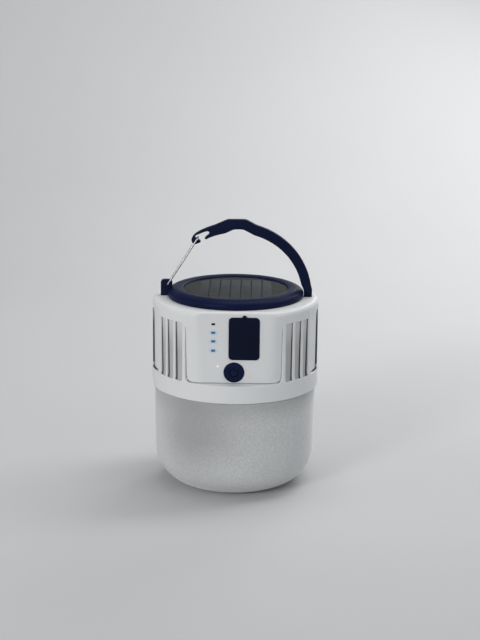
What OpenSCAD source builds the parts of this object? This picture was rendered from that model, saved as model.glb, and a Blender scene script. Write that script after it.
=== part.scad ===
// Solar lantern. A frosted light cup stands under a white barrel housing. A navy
// ring on the shoulder frames a round solar panel, and a fixed hook handle over
// it is closed by a sprung wire gate, like a snap hook.
// Millimetres. The base rests on z = 0, the axis is the Z axis, and the flat
// front with the port cover and the power button faces -Y.

/* [Body] */
// Height of the shoulder that carries the top ring
body_top = 105.5; // [105:0.5:107]
// Radius of the barrel
body_r = 46; // [45.9:0.1:46.2]
// Height of the bottom edge of the housing
seam_z = 56.2; // [56:0.1:56.4]
// Distance of the flat front from the axis
flat_y = 40.8; // [40.7:0.1:41]
// Thickness of the flat front wall
flat_t = 2.4; // [2.2:0.1:2.4]
// Depth of the grip grooves at their lower end
groove_d = 1.1; // [0.8:0.1:1.3]
// Radius of the rounded shoulder edge
shoulder_r = 2.8; // [2:0.2:3]

/* [Light cup] */
// Wall of the frosted cup
cup_wall = 2; // [1.6:0.2:2.4]
// Radius of the bottom corner of the cup
cup_corner = 20; // [18:1:21]

/* [Solar panel] */
// Radius of the panel disc
panel_r = 28.9; // [28.5:0.1:28.9]
// Number of cell strips
cell_count = 7; // [5:1:7]
// Width of one cell strip
cell_w = 5.1; // [4.5:0.1:5.2]
// Distance between neighbouring cell strips
cell_pitch = 5.8; // [5.6:0.1:5.9]

/* [Handle] */
// Thickness of the hook handle, front to back
arm_t = 3.6; // [3.4:0.2:4]
// Thickness of the hook nose inside the wire gate
nose_t = 2.6; // [2.2:0.2:2.6]
// Diameter of the gate wire
wire_d = 1; // [0.8:0.1:1]

/* [Front] */
// Width of the port cover
cover_w = 16.2; // [15.8:0.1:16.4]
// Height of the port cover
cover_h = 23; // [22.6:0.1:23.2]
// Thickness of the port cover
cover_t = 1.75; // [1.5:0.05:1.8]
// Diameter of the power button
button_d = 10.8; // [10:0.2:11]
// How far the power button stands proud of the flat
button_proud = 0.8; // [0.6:0.1:1]

/* [Battery] */
// Diameter of the cell
cell_d = 18.4; // [18:0.1:18.5]
// Length of the cell
cell_len = 65; // [64:0.5:65]

/* [Hidden] */
$fn = 64;

sh = body_top;              // shoulder
ir = body_r - 2.8;          // inside of the barrel
lr = body_r + 0.2;          // lower ring, outside
ledge = sh - 39.3;          // top of the lower ring, foot of the flat
deck_t = 2.5;               // top deck
deck_r = 24;                // hole in the deck for the leads
wall_in = flat_y - flat_t;  // inside of the flat wall
board_y = 27.6;             // front face of the main board
post_x = 15.2;              // board posts
post_z = [sh - 35, sh - 6];
boss_r = 35.5;              // plate screw circle
boss_a = [-30, 60, 120, 210];
ring_screw_r = 33;          // ring screw circle
ring_screw_a = [45, 135, 225, 315];

// Gate pivot in the lug, and the wire
piv = [-37.7, 6];
gate_dir = 57.7;
gate_len = 31.5;
wire_r = wire_d / 2;
wire_y = nose_t / 2 + 0.25 + wire_r;
bend_r = wire_r + 0.1;

// Front controls
cover_x = 5.4;
cover_z = sh - 14.5;
tab_x = 5.55;
tab_w = 2.3;
hinge_y = flat_y + 0.4;
hinge_z = sh - 2.35;
usb_z = sh - 10;
chg_z = sh - 21;
btn_x = 0.1;
btn_z = sh - 33;
lamp_x = -11.05;
lamp_z = [sh - 11.3, sh - 16, sh - 21.1];
dash_z = sh - 6.6;
dot_x = -8.65;
dot_z = sh - 29.7;

foot_x = 40.05;             // screw under the handle foot
lug_x = -38.45;             // screw under the lug
batt = [0, 14, 78];

// Rounded rectangle, centred
module rrect(w, h, r) {
  square([w - 2 * r, h], center = true);
  square([w, h - 2 * r], center = true);
  for (x = [-1, 1], y = [-1, 1]) translate([x * (w / 2 - r), y * (h / 2 - r)]) circle(r, $fn = 32);
}
// Extrudes a front-view shape between the depths y0 < y1
module fr(x, z, y0, y1) translate([x, y1, z]) rotate([90, 0, 0]) linear_extrude(y1 - y0) children();
// Straight rod along Y between y0 < y1
module rod_y(x, z, y0, y1, r) translate([x, y1, z]) rotate([90, 0, 0]) cylinder(r = r, h = y1 - y0);
// Shallow recess in the barrel: angle a from the front, w wide, fading out upwards
module recess(a, w, d_low, d_top, z0, z1)
  rotate([0, 0, a - w / 2 - 90]) rotate_extrude(angle = w, $fn = 128)
    polygon([[body_r + 2, z0], [body_r - d_low, z0], [body_r - d_top, z1], [body_r + 2, z1]]);
// Pan-head screw: head below z = 0, shank above
module screw(len, r = 1.05, head_r = 2.2, head_h = 1.6) {
  translate([0, 0, -head_h]) difference() {
    cylinder(r = head_r, h = head_h);
    for (a = [0, 90]) rotate([0, 0, a]) translate([-head_r * 0.6, -0.25, -0.1]) cube([head_r * 1.2, 0.5, 0.7]);
  }
  cylinder(r = r, h = len);
}

// Frosted cup with a neck that plugs into the housing
module diffuser() color("#AFB3B6") rotate_extrude($fn = 128)
  let (c = 44.4 - cup_corner, ri = cup_corner - cup_wall)
  polygon(concat(
    [[0, 0]],
    [for (a = [0:9:90]) [c + cup_corner * sin(a), cup_corner - cup_corner * cos(a)]],
    [[44.8, seam_z - 0.3], [42.9, seam_z - 0.3], [42.9, seam_z + 2.3], [41.2, seam_z + 2.3],
     [41.2, seam_z + 4.3], [42.9, seam_z + 4.3], [42.9, seam_z + 7.3], [39.6, seam_z + 7.3],
     [39.6, seam_z - 1.7], [44.8 - cup_wall, seam_z - 4.7]],
    [for (a = [90:-9:0]) [c + ri * sin(a), cup_corner - ri * cos(a)]],
    [[0, cup_wall]]));

// O-ring in the groove of the neck
module diffuser_seal() color("#202022") translate([0, 0, seam_z + 3.3])
  rotate_extrude($fn = 96) translate([42.2, 0]) circle(0.9, $fn = 24);

// Barrel housing with the flat front, grip grooves, deck, bosses and board posts
module housing() color("#DADBDD") difference() {
  union() {
    rotate_extrude($fn = 128) polygon(concat(
      [[ir, seam_z], [lr - 0.6, seam_z], [lr, seam_z + 1.2], [lr, ledge + 0.5], [body_r, ledge + 3]],
      [for (a = [0:22.5:90]) [body_r - shoulder_r + shoulder_r * cos(a), sh - shoulder_r + shoulder_r * sin(a)]],
      [[deck_r, sh], [deck_r, sh - deck_t], [ir, sh - deck_t]]));
    intersection() {
      translate([0, 0, ledge - 2.4]) cylinder(r = ir + 0.6, h = sh - 1 - ledge + 2.4, $fn = 128);
      union() {
        translate([-26, -flat_y - 1, ledge - 2.4]) cube([52, flat_t + 1, sh - ledge + 2.4]);
        translate([-26, -body_r, ledge - 2.4]) cube([52, body_r - wall_in, 2.4]);
      }
    }
    for (a = boss_a) rotate([0, 0, a]) {
      translate([boss_r, 0, seam_z + 6.85]) cylinder(r = 3.2, h = 12);
      translate([boss_r + 1.5, -1, seam_z + 7.8]) cube([ir + 0.4 - boss_r - 1.5, 2, 11.05]);
    }
    for (x = [-1, 1], z = post_z) rod_y(x * post_x, z, -wall_in - 1, -board_y, 2.2);
  }
  // flat front, with an eased upper edge
  translate([-30, -60, ledge]) cube([60, 60 - flat_y, 60]);
  translate([-30, 0, sh]) rotate([90, 0, 90]) linear_extrude(60)
    polygon([[-flat_y - 1, -2.2], [-flat_y - 1, 1], [-flat_y + 2.2, 1]]);
  // front panel, back panel, grip grooves and side recesses
  recess(0, 69.4, 0.9, 0.1, ledge + 0.3, sh - 7.2);
  recess(180, 69.4, 0.9, 0.1, ledge, sh - 7.2);
  for (s = [-1, 1], k = [0, 1]) {
    for (a = [40.3, 48.7, 57.1]) recess(k == 0 ? s * a : 180 - s * a, 6.3, groove_d, 0.15, ledge, sh - 7.2);
    recess(k == 0 ? s * 72.25 : 180 - s * 72.25, 19.5, 0.9, 0.1, ledge, sh - 7.2);
  }
  // screw pilots
  for (a = boss_a) rotate([0, 0, a]) translate([boss_r, 0, seam_z + 6]) cylinder(r = 1.1, h = 11);
  for (x = [-1, 1], z = post_z) rod_y(x * post_x, z, -board_y - 7, -board_y + 1, 0.95);
  // deck: ring screws, handle foot, lug
  for (a = ring_screw_a) rotate([0, 0, a]) translate([ring_screw_r, 0, sh - 3]) cylinder(r = 1.3, h = 4);
  translate([38.2, -arm_t / 2 - 0.1, sh - 3]) cube([3.8, arm_t + 0.2, 4]);
  translate([-41, -1.9, sh - 3]) cube([5.1, 3.8, 4]);
  // port cover seat, sockets and tether
  fr(cover_x, cover_z, -flat_y - 1, -flat_y + 1) rrect(cover_w + 0.4, cover_h + 0.4, 2.2);
  fr(cover_x, usb_z, -flat_y - 1, -wall_in + 1) square([13.6, 6.2], center = true);
  fr(cover_x, chg_z, -flat_y - 1, -wall_in + 1) rrect(9.5, 3.8, 1.6);
  rod_y(tab_x, hinge_z + 0.15, -flat_y - 1, -flat_y + 2, 0.65);
  // button, lamps, status dot
  rod_y(btn_x, btn_z, -flat_y - 1, -wall_in + 1, button_d / 2 + 0.2);
  for (z = lamp_z) fr(lamp_x, z, -flat_y - 1, -wall_in + 1) square([2.4, 1.4], center = true);
  fr(lamp_x, dash_z, -flat_y - 1, -wall_in + 1) square([2, 1.1], center = true);
  rod_y(dot_x, dot_z, -flat_y - 1, -wall_in + 1, 0.6);
}

// Navy ring that frames the panel
module top_ring() color("#1A2248") translate([0, 0, sh]) difference() {
  rotate_extrude($fn = 128) polygon([[26, 0], [37.2, 0], [37.6, 1.2], [37.6, 2.7], [36.7, 3.8], [35, 4.7],
    [33.2, 5.2], [31.2, 5.2], [29.7, 4.9], [29.1, 4.55], [29.1, 2.5], [26, 2.5]]);
  for (a = ring_screw_a) rotate([0, 0, a]) translate([ring_screw_r, 0, -1]) cylinder(r = 1.1, h = 4.8);
  translate([-42, -2.4, -1]) cube([6.9, 4.8, 8]);
}
module panel_seal() color("#1C1C1E") translate([0, 0, sh + 2.5]) difference() {
  cylinder(r = 28.7, h = 0.4, $fn = 96);
  translate([0, 0, -1]) cylinder(r = 26.3, h = 3, $fn = 96);
}
module panel_board() color("#2C332C") translate([0, 0, sh + 2.9]) cylinder(r = panel_r, h = 1, $fn = 96);
module solar_cells() color("#59605A") translate([0, 0, sh + 3.9]) intersection() {
  cylinder(r = 27.4, h = 0.2, $fn = 96);
  for (i = [0:cell_count - 1])
    translate([(i - (cell_count - 1) / 2) * cell_pitch - cell_w / 2, -21.8, 0]) cube([cell_w, 43.6, 0.2]);
}
// Clear laminate with a shallow pocket over the cells
module panel_cover() color("#8C9490") translate([0, 0, sh + 3.9]) difference() {
  cylinder(r = panel_r, h = 0.6, $fn = 96);
  translate([0, 0, -1]) cylinder(r = 28, h = 1.25, $fn = 96);
}

// Handle outline in the plane of the hook
function outer_pt(t) = [42.2 * cos(t), 41.2 * sin(t)];
function inner_pt(t) = [36.9 * cos(t), 35.5 * sin(t)];
function about_piv(r, t) = [piv[0] + r * cos(t), piv[1] + r * sin(t)];
module hook_outline() polygon(concat(
  [[37.8, 0], [42.3, 0], [42.3, 4.4]],
  [for (t = [8:4:72]) outer_pt(t)],
  [[11.4, 39.7], [5.6, 42.8], [-4.6, 42.8], [-11.8, 39.6]],
  [for (t = [110:4:118]) outer_pt(t)],
  // nose and barb
  [[-22.3, 34.9], [-23.9, 33.2], [-24.6, 31.5], [-24.4, 30.2], [-23.6, 29.2], [-22.5, 28.8], [-21.4, 29.1],
   [-19.7, 29.9], [-19.4, 30.3]],
  [for (t = [54:2:60]) about_piv(30.7, t)],
  // slot that takes the wire, and the tongue under it
  [[-22.7, 33.1], [-22, 33.9], [-20.2, 34.6], [-17.2, 35.9], [-15.7, 36.2], [-14.9, 35.9], [-14.6, 35.2],
   [-15, 34.5], [-16.4, 33.3], [-17.3, 32.4], [-17.1, 31.8], [-16.3, 31.6]],
  [for (t = [114:-4:102]) inner_pt(t)],
  [[-6, 35.1], [-1, 37.4], [3.8, 37.4], [10.2, 34.1]],
  [for (t = [70:-4:14]) inner_pt(t)],
  [[36.3, 6.8], [37.3, 4.7], [37.8, 3.3]]));

module handle_arm() color("#171E3E") translate([0, 0, sh]) difference() {
  union() {
    rotate([90, 0, 0]) linear_extrude(arm_t, center = true) hook_outline();
    translate([38.3, -arm_t / 2, -2.3]) cube([3.6, arm_t, 2.5]);
  }
  translate([foot_x, 0, -3]) cylinder(r = 0.95, h = 9);
  // the nose is thinner where the wire gate closes round it
  for (s = [0, 180]) rotate([0, 0, s]) translate([s == 0 ? piv[0] : -piv[0], -nose_t / 2, piv[1]])
    rotate([90, 0, 0]) cylinder(r = 32.6, h = 3, $fn = 96);
}

// Lug that carries the gate wire
module gate_lug() color("#171E3E") translate([0, 0, sh]) difference() {
  union() {
    fr(-38.35, 4.4, -1.35, 1.35) rrect(6.3, 8.8, 1.7);
    translate([-41.5, -2.3, 0]) cube([6.3, 4.6, 4]);
    translate([-40.9, -1.8, -2.3]) cube([4.9, 3.6, 2.5]);
  }
  rod_y(piv[0], piv[1], -3, 3, wire_r + 0.08);
  translate([lug_x, 0, -3]) cylinder(r = 0.95, h = 6.4);
}

// One side of the wire loop, drawn along +X from the pivot
module gate_side() {
  rod_y(0, 0, 0.3, wire_y - bend_r, wire_r);
  translate([bend_r, wire_y - bend_r, 0]) rotate([0, 0, 90])
    rotate_extrude(angle = 90, $fn = 48) translate([bend_r, 0]) circle(wire_r, $fn = 32);
  translate([bend_r, wire_y, 0]) rotate([0, 90, 0]) cylinder(r = wire_r, h = gate_len - 2 * bend_r);
  translate([gate_len - bend_r, wire_y - bend_r, 0])
    rotate_extrude(angle = 90, $fn = 48) translate([bend_r, 0]) circle(wire_r, $fn = 32);
}
module wire_gate() color("#B8BBBF") translate([piv[0], 0, sh + piv[1]]) rotate([0, -gate_dir, 0]) {
  gate_side();
  mirror([0, 1, 0]) gate_side();
  rod_y(gate_len, 0, -wire_y + bend_r, wire_y - bend_r, wire_r);
}

// Screws and washers that clamp the handle foot and the lug from under the deck
module handle_screws() color("#A7AAAE") {
  translate([foot_x, 0, sh - 3.3]) screw(8.4, 0.9, 1.9, 1.4);
  translate([lug_x, 0, sh - 3.3]) screw(6, 0.9, 1.9, 1.4);
}
module handle_washers() color("#9FA2A6") for (x = [foot_x, lug_x]) translate([x, 0, sh - 3.3]) difference() {
  cylinder(r = 3, h = 0.8);
  translate([0, 0, -1]) cylinder(r = 1.05, h = 3);
}
module ring_screws() color("#A7AAAE") for (a = ring_screw_a)
  rotate([0, 0, a]) translate([ring_screw_r, 0, sh - deck_t]) screw(6);

// Rubber cover over the sockets. Its tab ends in the knuckle that it bends about
module port_cover() color("#141A34") {
  fr(cover_x, cover_z, -flat_y + 0.95 - cover_t, -flat_y + 0.95) rrect(cover_w, cover_h, 2);
  translate([tab_x - tab_w / 2, -hinge_y - 0.4, hinge_z - 1.2]) cube([tab_w, 0.8, 1.2]);
  translate([tab_x - tab_w / 2, -hinge_y, hinge_z]) rotate([0, 90, 0]) cylinder(r = 0.4, h = tab_w);
  // shallow plugs that sit in the mouths of the sockets
  fr(cover_x, usb_z, -flat_y + 0.9, -flat_y + 1.9) square([11.4, 4.1], center = true);
  fr(cover_x, chg_z, -flat_y + 0.9, -flat_y + 1.7) rrect(7.4, 1.8, 0.8);
}
// Anchor of the cover, pressed into the edge of the deck
module cover_tether() color("#141A34") rod_y(tab_x, hinge_z + 0.15, -flat_y + 0.05, -flat_y + 1.9, 0.6);

// Power button with a return flange behind the wall and a stem to the switch
module power_button() color("#161D3C") difference() {
  translate([btn_x, 0, btn_z]) rotate([90, 0, 0]) rotate_extrude($fn = 64)
    polygon([[0, flat_y + button_proud], [button_d / 2 - 0.7, flat_y + button_proud],
      [button_d / 2, flat_y + button_proud - 0.5], [button_d / 2, wall_in - 0.1], [6.3, wall_in - 0.1],
      [6.3, wall_in - 1.3], [1.6, wall_in - 1.3], [1.6, 32.7], [0, 32.7]]);
  // power symbol, sunk into the face
  translate([btn_x, -flat_y - button_proud + 0.3, btn_z]) rotate([90, 0, 0]) {
    rotate([0, 0, 120]) rotate_extrude(angle = 300, $fn = 48) translate([1.9, 0]) square([0.5, 1]);
    translate([-0.25, 1.2, 0]) cube([0.5, 1.7, 1]);
  }
}
module tact_switch() color("#232326") difference() {
  translate([btn_x - 3, -31.6, btn_z - 3]) cube([6, 4, 6]);
  rod_y(btn_x, btn_z, -33, -28.2, 1.8);
}
module tact_plunger() color("#E4E2DC") rod_y(btn_x, btn_z, -32.6, -29, 1.7);

// Clear rods that carry the three charge lamps to the front
module light_guide() color("#BFD6F0") {
  for (z = lamp_z) fr(lamp_x, z, -flat_y + 0.1, -28.9) square([2.2, 1.2], center = true);
  translate([lamp_x - 1.4, -wall_in + 0.1, sh - 22.4]) cube([2.8, 1, 12.4]);
}
module charge_window() color("#15171C") fr(lamp_x, dash_z, -flat_y + 0.1, -28.9) square([1.85, 0.95], center = true);
module status_lens() color("#F4F5F6") rod_y(dot_x, dot_z, -flat_y + 0.05, -28.9, 0.5);

module main_board() color("#1F5A3A") difference() {
  translate([-17.6, -board_y, sh - 37.5]) cube([35.2, 1.6, 34]);
  for (x = [-1, 1], z = post_z) rod_y(x * post_x, z, -board_y - 1, -board_y + 3, 1.1);
}
module usb_a_socket() color("#B4B7BB") {
  difference() {
    fr(cover_x, usb_z, -flat_y + 1.15, -board_y - 0.05) square([13.1, 5.7], center = true);
    fr(cover_x, usb_z, -flat_y, -29.6) square([12.5, 5.1], center = true);
  }
  fr(cover_x, usb_z + 1.1, -38.4, -29.5) square([11.1, 1.8], center = true);
}
module charge_socket() color("#B4B7BB") {
  difference() {
    fr(cover_x, chg_z, -flat_y + 1.15, -board_y - 0.05) rrect(9, 3.3, 1.5);
    fr(cover_x, chg_z, -flat_y, -31.5) rrect(8.4, 2.7, 1.2);
  }
  fr(cover_x, chg_z, -38.2, -31.4) square([6.6, 0.7], center = true);
}
// Five small lamps on the board, one behind each window
module indicator_leds() color("#E8E6C8") {
  for (z = concat(lamp_z, [dash_z])) translate([lamp_x - 0.8, -board_y - 0.85, z - 0.4]) cube([1.6, 0.8, 0.8]);
  translate([dot_x - 0.8, -board_y - 0.85, dot_z - 0.4]) cube([1.6, 0.8, 0.8]);
}
// Parts on the back of the board: controller, coil, capacitors, connectors
module board_components() color("#2A2B2E") {
  y = -board_y + 1.65;
  translate([-3.5, y, sh - 21]) cube([7, 1, 7]);
  translate([6, y, sh - 26]) cube([6.5, 3.4, 6.5]);
  translate([-13.5, y, sh - 18]) cube([4, 1.2, 5]);
  for (x = [-11, -7]) translate([x, y + 5.4, sh - 28]) rotate([90, 0, 0]) cylinder(r = 1.6, h = 5.4);
  for (x = [-6.4, 10.4]) translate([x, y, sh - 12.8]) cube([4.8, 3.2, 4.6]);
}
module board_screws() color("#A7AAAE") for (x = [-1, 1], z = post_z)
  translate([x * post_x, -board_y + 1.6, z]) rotate([90, 0, 0]) screw(7.2, 0.9, 1.9, 1.3);

module battery_cell() color("#3F7F6A") translate(batt) rotate([0, 90, 0])
  cylinder(r = cell_d / 2, h = cell_len, center = true);
module battery_cap() color("#BFC1C4") translate(batt) translate([cell_len / 2 + 0.02, 0, 0]) rotate([0, 90, 0])
  cylinder(r = 2.8, h = 1.2);
module battery_cradle() color("#34363A") difference() {
  translate([-30, batt[1] - 11, seam_z + 7]) cube([60, 22, 11]);
  translate(batt) rotate([0, 90, 0]) cylinder(r = cell_d / 2 + 0.15, h = 80, center = true);
  for (x = [-15, 15]) translate([x, batt[1], seam_z + 6]) translate([-9, -8, 0]) cube([18, 16, 8]);
}

// Plate that closes the housing and carries the lamp board
module led_plate() color("#C9CBCE") translate([0, 0, seam_z + 4.8]) difference() {
  cylinder(r = 39.2, h = 2, $fn = 96);
  for (a = boss_a) rotate([0, 0, a]) translate([boss_r, 0, -1]) cylinder(r = 1.3, h = 4);
  translate([0, -14, -1]) cylinder(r = 4.5, h = 4);
}
module led_board() color("#EDEEEE") translate([0, 0, seam_z + 3.4]) difference() {
  cylinder(r = 30, h = 1.35, $fn = 96);
  translate([0, -14, -1]) cylinder(r = 2, h = 4);
}
module led_chips() color("#F2E7A0") {
  for (i = [0:11]) rotate([0, 0, i * 30 + 15]) translate([21.5, -1.4, seam_z + 2.55]) cube([3.5, 2.8, 0.8]);
  for (i = [0:3]) rotate([0, 0, i * 90]) translate([6.5, -1.4, seam_z + 2.55]) cube([3.5, 2.8, 0.8]);
}
module plate_screws() color("#A7AAAE") for (a = boss_a)
  rotate([0, 0, a]) translate([boss_r, 0, seam_z + 4.8]) screw(10);
module reflector() color("#F1F2F2") translate([0, 0, seam_z]) rotate_extrude($fn = 96)
  polygon([[30.5, 2.4], [39, 0], [39, 4.7], [38.2, 4.7], [38.2, 1.2], [31.3, 3.2], [31.3, 4.7], [30.5, 4.7]]);

// Insulated lead along a cubic curve through four control points
function bez(p, t) = pow(1 - t, 3) * p[0] + 3 * t * pow(1 - t, 2) * p[1] + 3 * t * t * (1 - t) * p[2] + pow(t, 3) * p[3];
function tang(p, t) = let (d = bez(p, min(1, t + 0.01)) - bez(p, max(0, t - 0.01))) d / norm(d);
module lead(p, r = 0.65, n = 16, k = 8) {
  pts = [for (i = [0:n]) let (c = bez(p, i / n), d = tang(p, i / n), u = cross(d, [1, 0, 0.01]), v = u / norm(u), w = cross(d, v))
    for (j = [0:k - 1]) c + r * cos(j * 360 / k) * v + r * sin(j * 360 / k) * w];
  polyhedron(pts, concat(
    [[for (j = [0:k - 1]) j]], [[for (j = [k - 1:-1:0]) n * k + j]],
    [for (i = [0:n - 1], j = [0:k - 1]) [i * k + j, (i + 1) * k + j, (i + 1) * k + (j + 1) % k, i * k + (j + 1) % k]]));
}
module solar_leads() color("#A52A2A") for (x = [-2, 2])
  lead([[x, -9, sh + 2.8], [x, -9, sh - 7], [x * 1.3 - 4, -12, sh - 10.7], [x - 4, -22.65, sh - 10.5]]);
module battery_leads() color("#7A2020") for (s = [-1, 1])
  lead([[s * 34.6, 14, 78], [s * 46, -2, 78], [12.8 + s, -14, sh - 10.5], [12.8 + s, -22.65, sh - 10.5]]);
module led_leads() color("#2A2A2A") for (x = [-1, 1])
  lead([[x, -14, seam_z + 5.1], [x, -14, seam_z + 12], [x, -15, sh - 31], [x, -25.8, sh - 31]]);

diffuser();
diffuser_seal();
housing();
top_ring();
panel_seal();
panel_board();
solar_cells();
panel_cover();
handle_arm();
gate_lug();
wire_gate();
handle_screws();
handle_washers();
ring_screws();
port_cover();
cover_tether();
power_button();
tact_switch();
tact_plunger();
light_guide();
charge_window();
status_lens();
main_board();
usb_a_socket();
charge_socket();
indicator_leds();
board_components();
board_screws();
battery_cell();
battery_cap();
battery_cradle();
led_plate();
led_board();
led_chips();
plate_screws();
reflector();
solar_leads();
battery_leads();
led_leads();
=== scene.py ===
import bpy, bmesh, math
import numpy as np
from mathutils import Vector, Matrix
from mathutils.geometry import tessellate_polygon
from math import sin, cos, pi, radians, degrees, sqrt, exp, atan2


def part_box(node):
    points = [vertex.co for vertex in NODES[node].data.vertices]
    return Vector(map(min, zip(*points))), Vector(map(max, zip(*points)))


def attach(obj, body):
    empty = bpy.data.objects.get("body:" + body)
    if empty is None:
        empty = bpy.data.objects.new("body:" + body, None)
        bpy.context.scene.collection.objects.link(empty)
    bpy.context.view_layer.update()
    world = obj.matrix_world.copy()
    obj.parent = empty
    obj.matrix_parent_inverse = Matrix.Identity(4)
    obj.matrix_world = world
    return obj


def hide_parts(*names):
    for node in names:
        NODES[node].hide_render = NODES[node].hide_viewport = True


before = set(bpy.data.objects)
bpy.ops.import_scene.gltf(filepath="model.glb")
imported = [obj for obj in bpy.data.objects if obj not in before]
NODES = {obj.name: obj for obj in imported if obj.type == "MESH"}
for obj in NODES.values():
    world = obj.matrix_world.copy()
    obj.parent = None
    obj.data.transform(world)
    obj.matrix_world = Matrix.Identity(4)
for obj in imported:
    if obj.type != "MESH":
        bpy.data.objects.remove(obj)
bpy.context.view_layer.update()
MM = 0.001


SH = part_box("top_ring")[0].z / MM            # shoulder height, mm
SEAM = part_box("housing")[0].z / MM           # bottom edge of the housing
LEDGE = SH - 39.3
FLAT = 40.8
BR = 46.0

# ---------------------------------------------------------------- camera, floor, light
def look(loc, yaw, pitch, roll, lens, shx, shy):
    fwd = Vector((sin(yaw) * cos(pitch), cos(yaw) * cos(pitch), -sin(pitch)))
    right = fwd.cross(Vector((0, 0, 1))).normalized()
    up = right.cross(fwd)
    r2 = cos(roll) * right + sin(roll) * up
    u2 = -sin(roll) * right + cos(roll) * up
    cam_data = bpy.data.cameras.new("camera")
    cam = bpy.data.objects.new("camera", cam_data)
    bpy.context.scene.collection.objects.link(cam)
    m = Matrix.Identity(4)
    for i in range(3):
        m[i][0], m[i][1], m[i][2], m[i][3] = r2[i], u2[i], -fwd[i], loc[i]
    cam.matrix_world = m
    cam_data.sensor_width = 36
    cam_data.sensor_fit = "AUTO"
    cam_data.lens = lens
    cam_data.shift_x, cam_data.shift_y = shx, shy
    cam_data.clip_start, cam_data.clip_end = 0.05, 20
    bpy.context.scene.camera = cam
    return cam


F_PX, CX, CY = 1509.49, 245.19, 302.87
look(Vector((13.585, -817.18, 185.75 + SH)) * MM, -0.010084, 0.22841, 0.0099089,
     F_PX / 640 * 36, (240 - CX) / 640, (CY - 320) / 640)


def new_obj(name, me, body=None):
    ob = bpy.data.objects.new(name, me)
    bpy.context.scene.collection.objects.link(ob)
    if body:
        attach(ob, body)
    return ob


# floor with a far, smoothly raised back, so that no horizon line shows
def make_floor():
    vs, fs = [], []
    xs = [-9 + 18 * i / 36 for i in range(37)]
    prof = [(-9, 0), (-4, 0), (-2.5, 0), (-1.5, 0), (-0.5, 0), (0.2, 0), (0.45, 0)]
    R = 0.6
    prof += [(0.45 + R * sin(radians(a)), R - R * cos(radians(a))) for a in range(5, 91, 5)]
    prof += [(1.05, 1.0), (1.05, 2.4)]
    for y, z in prof:
        for x in xs:
            vs.append((x, y, z - 0.0002))
    n = len(xs)
    for j in range(len(prof) - 1):
        for i in range(n - 1):
            fs.append((j * n + i, j * n + i + 1, (j + 1) * n + i + 1, (j + 1) * n + i))
    me = bpy.data.meshes.new("floor")
    me.from_pydata(vs, [], fs)
    me.update()
    for p in me.polygons:
        p.use_smooth = True
    ob = new_obj("floor", me)
    return ob


floor = make_floor()


def area(name, loc, target, size, energy, col=(1, 1, 1), size_y=None):
    d = bpy.data.lights.new(name, "AREA")
    d.energy = energy
    d.color = col
    d.shape = "RECTANGLE" if size_y else "DISK"
    d.size = size
    if size_y:
        d.size_y = size_y
    o = bpy.data.objects.new(name, d)
    bpy.context.scene.collection.objects.link(o)
    v = Vector(target) - Vector(loc)
    o.rotation_euler = v.to_track_quat("-Z", "Y").to_euler()
    o.location = loc
    return o


area("key", (-0.62, -0.92, 0.42), (0, 0, 0.07), 0.32, 5.3, (1, 0.99, 0.975))
area("fill", (0.95, -0.65, 0.35), (0, 0, 0.06), 0.5, 1.5, (0.97, 0.985, 1))
area("side", (-0.95, -0.10, 0.40), (0, 0, 0.07), 0.4, 0.9, (1, 1, 1))
area("top", (0.05, 0.10, 1.0), (0, 0, 0.05), 0.6, 2.6, (1, 1, 1))
area("rim", (0.35, 0.75, 0.5), (0, 0, 0.1), 0.4, 1.2, (1, 1, 1))
area("backdrop", (0.55, 0.30, 0.85), (0.15, 1.05, 0.30), 0.7, 6.0, (1, 1, 1))

world = bpy.data.worlds.new("world")
bpy.context.scene.world = world
world.use_nodes = True
bg = world.node_tree.nodes["Background"]
bg.inputs[0].default_value = (0.93, 0.95, 1.0, 1)
bg.inputs[1].default_value = 0.26
sc = bpy.context.scene
sc.view_settings.view_transform = "Standard"
sc.view_settings.look = "None"

# ---------------------------------------------------------------- materials
def nt_new(name):
    m = bpy.data.materials.new(name)
    m.use_nodes = True
    nt = m.node_tree
    nt.nodes.clear()
    out = nt.nodes.new("ShaderNodeOutputMaterial")
    b = nt.nodes.new("ShaderNodeBsdfPrincipled")
    nt.links.new(b.outputs[0], out.inputs[0])
    return m, nt, b, out


def coords(nt):
    tc = nt.nodes.new("ShaderNodeTexCoord")
    return tc.outputs["Object"]


def noise(nt, vec, scale, detail=3.0, rough=0.55):
    n = nt.nodes.new("ShaderNodeTexNoise")
    n.inputs["Scale"].default_value = scale
    n.inputs["Detail"].default_value = detail
    n.inputs["Roughness"].default_value = rough
    nt.links.new(vec, n.inputs["Vector"])
    return n.outputs["Fac"]


def ramp(nt, fac, stops):
    r = nt.nodes.new("ShaderNodeValToRGB")
    els = r.color_ramp.elements
    while len(els) < len(stops):
        els.new(0.5)
    for e, (p, c) in zip(els, stops):
        e.position = p
        e.color = (*c, 1) if len(c) == 3 else c
    nt.links.new(fac, r.inputs[0])
    return r.outputs[0]


def math_n(nt, op, a, b=None, clamp=False):
    n = nt.nodes.new("ShaderNodeMath")
    n.operation = op
    n.use_clamp = clamp
    for i, v in enumerate((a, b)):
        if v is None:
            continue
        if isinstance(v, (int, float)):
            n.inputs[i].default_value = v
        else:
            nt.links.new(v, n.inputs[i])
    return n.outputs[0]


def maprange(nt, v, a, b, c, d, smooth=False):
    n = nt.nodes.new("ShaderNodeMapRange")
    n.interpolation_type = "SMOOTHSTEP" if smooth else "LINEAR"
    nt.links.new(v, n.inputs["Value"])
    for k, x in (("From Min", a), ("From Max", b), ("To Min", c), ("To Max", d)):
        n.inputs[k].default_value = x
    return n.outputs["Result"]


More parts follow.
